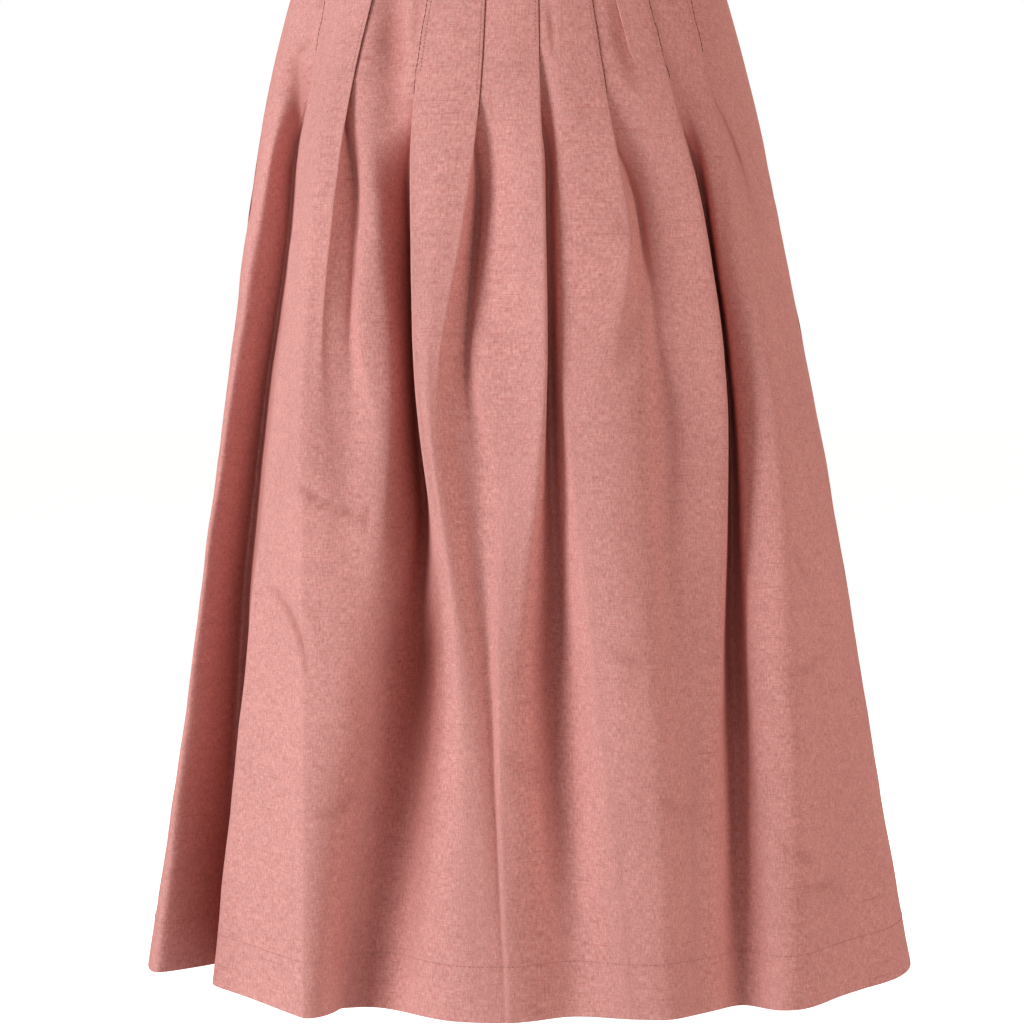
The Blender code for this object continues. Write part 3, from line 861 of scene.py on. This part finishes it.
def make_band(material):
    """The waistband: a strip folded double, slightly puffed between its two edge stitchings."""
    half, thick = BAND_HEIGHT / 2, BAND_THICK / 2
    profile = []
    for number in range(BAND_STEPS + 1):
        share = number / BAND_STEPS
        along_height = -half + BAND_ROUND + (BAND_HEIGHT - 2 * BAND_ROUND) * share
        puff = BAND_EDGE_SHARE + (1 - BAND_EDGE_SHARE) * math.sin(math.pi * share) ** 0.5
        profile.append((along_height, thick * puff))
    profile.append((half - 0.35, thick * 0.55))
    profile.append((half, 0.0))
    profile += [(high, -out) for high, out in profile[-2::-1]]
    profile.append((-half + 0.35, -thick * 0.55))
    profile.append((-half, 0.0))
    profile.append((-half + 0.35, thick * 0.55))
    full = 2 * math.pi + BAND_LAP / Section(0).front
    places, u, v = [], [], []
    for number in range(BAND_STATIONS + 1):
        turn = full * number / BAND_STATIONS
        end = min(number, BAND_STATIONS - number)
        close = math.sqrt(1 - (1 - min(end / 2, 1.0)) ** 2) if end < 2 else 1.0
        for high, out in profile:
            below = half - high
            wave = 0.25 * soft_noise(turn * 120, below, 22, 30, 5)
            wave += 0.12 * soft_noise(turn * 120, below, 7, 9, 6)
            place, _ = band_place(turn, below, out * max(close, 0.35) + wave)
            places.append(place)
            u.append(turn * 0.125)
            v.append((below + (BAND_HEIGHT if out < 0 else 0)) * MM)
    around = len(profile)
    faces = []
    for number in range(BAND_STATIONS):
        for side in range(around):
            a, b = number * around + side, number * around + (side + 1) % around
            faces.append((a, a + around, b + around, b))
    faces.append(tuple(range(around))[::-1])
    faces.append(tuple(BAND_STATIONS * around + side for side in range(around)))
    obj = new_object("waistband_cloth", places, faces, material)
    give_uv(obj, np.array(u), np.array(v))
    return obj


def band_sewing(material):
    """Stitching 2 mm in from the band's two long edges and its end, and the buttonhole."""
    thread = Thread()
    full = 2 * math.pi
    for below in (BAND_STITCHES_IN, BAND_HEIGHT - BAND_STITCHES_IN):
        line = [band_place(full * i / 360, below, BAND_THICK / 2 * 0.93) for i in range(361)]
        thread.seam(line)
    start_turn = BAND_STITCHES_IN / Section(0).front
    down = [BAND_STITCHES_IN + (BAND_HEIGHT - 2 * BAND_STITCHES_IN) * i / 12 for i in range(13)]
    thread.seam([band_place(start_turn, below, BAND_THICK / 2 * 0.95) for below in down])
    middle = BAND_HEIGHT / 2
    centre = BAND_LAP / 2 / Section(0).front
    for number in range(BUTTONHOLE_STITCHES):
        share = number / (BUTTONHOLE_STITCHES - 1)
        for side in (-1, 1):
            turn = centre + (share * 2 - 1) * BUTTONHOLE_REACH / Section(0).front
            inner, normal = band_place(turn, middle + side * 0.5, BAND_THICK / 2 + 0.05)
            outer, _ = band_place(turn, middle + side * 2.1, BAND_THICK / 2 + 0.05)
            thread.stitch(inner, outer, normal, 0.24)
    return thread.finished("waistband_stitching", material)


def button_sewing(material):
    """Thread that crosses between the button's holes."""
    thread = Thread()
    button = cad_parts["button"]
    places = np.array([v.co for v in button.data.vertices])
    centre = Vector(places.mean(axis=0))
    _, normal = band_place(BAND_LAP / 2 / Section(0).front, BAND_HEIGHT / 2, 0)
    beside = Vector((-normal.y, normal.x, 0))
    up = Vector((0, 0, 1))
    reach = 1.35 * MM
    face = centre + normal * 0.75 * MM
    for way in (1, -1):
        for shift in (-0.35, 0.0, 0.35):
            aside = (beside - up * way).normalized() * shift * MM
            across = (beside + up * way) * reach
            thread.stitch(face - across + aside, face + across + aside, normal, 0.26)
    return thread.finished("button_thread", material)


# The camera's place before the skirt, what it takes in there and how far its picture is shifted,
# the studio's lights and its floor, in metres and watts
CAMERA_AWAY = 2.1
CAMERA_BELOW = 0.386
CAMERA_TAKES_IN = 0.768
CAMERA_SHIFT = -0.085
SENSOR = 36.0
LIT_PLACE = (0, 0, -0.42)
Light = namedtuple("Light", "name place size watts colour")
LIGHTS = (
    Light("Key", (-3.35, -2.0, 1.4), 1.5, 143, (0.94, 1.0, 1.03)),
    Light("Fill", (3.1, -1.5, 0.5), 1.6, 39, (1.0, 0.84, 0.77)),
    Light("Back fill", (0.8, 3.0, 1.4), 2.4, 40, (1.0, 0.97, 0.95)),
)
ROOM_LIGHT = 0.24
ROOM_TINT = (1.0, 0.74, 0.66, 1)
WHITE = (1, 1, 1, 1)
FLOOR_BELOW = 1.06
FLOOR_REACH = 300


def make_camera_and_studio():
    camera = bpy.data.cameras.new("Camera")
    camera.sensor_width = SENSOR
    camera.lens = SENSOR * CAMERA_AWAY / CAMERA_TAKES_IN
    camera.shift_y = CAMERA_SHIFT
    camera.clip_end = 900
    eye = bpy.data.objects.new("Camera", camera)
    eye.location = (0, -CAMERA_AWAY, -CAMERA_BELOW)
    eye.rotation_euler = (math.radians(90), 0, 0)
    bpy.context.scene.collection.objects.link(eye)
    bpy.context.scene.camera = eye

    target = Vector(LIT_PLACE)
    for row in LIGHTS:
        light = bpy.data.lights.new(row.name, "AREA")
        light.shape = "SQUARE"
        light.size = row.size
        light.energy = row.watts
        light.color = row.colour
        lamp = bpy.data.objects.new(row.name, light)
        lamp.location = row.place
        lamp.rotation_euler = (target - Vector(row.place)).to_track_quat("-Z", "Y").to_euler()
        bpy.context.scene.collection.objects.link(lamp)

    floor_mesh = bpy.data.meshes.new("floor")
    ways = (-1, -1), (1, -1), (1, 1), (-1, 1)
    corners = [(x * FLOOR_REACH, y * FLOOR_REACH, -FLOOR_BELOW) for x, y in ways]
    floor_mesh.from_pydata(corners, [], [(0, 1, 2, 3)])
    floor = bpy.data.objects.new("floor", floor_mesh)
    bpy.context.scene.collection.objects.link(floor)
    pale = bpy.data.materials.new("Floor")
    tree, shader = shader_nodes(pale)
    nodes = Nodes(tree)
    place = nodes.new("ShaderNodeTexCoord")
    cloudy = nodes.new("ShaderNodeTexNoise", Vector=place.outputs["Object"], Scale=3.0, Detail=3.0)
    greys = (0.90, 0.90, 0.90, 1), (0.93, 0.93, 0.93, 1)
    colour = nodes.mix(nodes.ramp(cloudy.outputs[0], 0.3, 0.7), *greys)
    tree.links.new(colour, shader.inputs["Base Color"])
    shader.inputs["Roughness"].default_value = 0.9
    shader.inputs["Emission Color"].default_value = WHITE
    lit = tree.nodes.new("ShaderNodeLightPath")
    seen = nodes.math("MULTIPLY", lit.outputs["Is Camera Ray"], 0.85)
    tree.links.new(seen, shader.inputs["Emission Strength"])
    floor_mesh.materials.append(pale)

    world = bpy.data.worlds.new("Studio")
    bpy.context.scene.world = world
    world.use_nodes = True
    tree = world.node_tree
    sky = tree.nodes["Background"]
    light_path = tree.nodes.new("ShaderNodeLightPath")
    tint = Nodes(tree).mix(light_path.outputs["Is Camera Ray"], ROOM_TINT, WHITE)
    tree.links.new(tint, sky.inputs[0])
    strength = tree.nodes.new("ShaderNodeMapRange")
    strength.inputs["To Min"].default_value = ROOM_LIGHT
    strength.inputs["To Max"].default_value = 1.0
    tree.links.new(light_path.outputs["Is Camera Ray"], strength.inputs[0])
    tree.links.new(strength.outputs[0], sky.inputs[1])
    bpy.context.scene.view_settings.view_transform = "Standard"


def main():
    cloth = linen("Rose linen")
    sewing = thread_material("Rose thread", (0.60, 0.27, 0.245, 1), (0.40, 0.14, 0.12, 1))
    # Thread darkened to paint the shadow in the ditches beside the pleats' edges and along the side seams
    sunk = thread_material("Rose thread dark as seam shadow", (0.36, 0.11, 0.09, 1), (0.25, 0.07, 0.055, 1))
    front = Panel(FRONT_PLEATS, FRONT_CREASES, False, 11)
    back = Panel(back_pleats(), BACK_CREASES, True, 57)
    for name, node, panel in (("front_cloth", "front_panel", front), ("back_cloth", "back_panel", back)):
        sheet = make_cloth(name, panel, cloth)
        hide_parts(node)
        stitching = panel_sewing(name + "_stitching", panel, sewing)
        seams = seam_shadow_threads(name + "_seam_shadow_threads", panel, sunk)
    band = make_band(cloth)
    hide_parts("waistband")
    band_sewing(sewing)
    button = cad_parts["button"]
    button.data.materials.clear()
    button.data.materials.append(button_material("Rose button"))
    button_sewing(sewing)
    make_camera_and_studio()
    bpy.context.view_layer.update()


main()
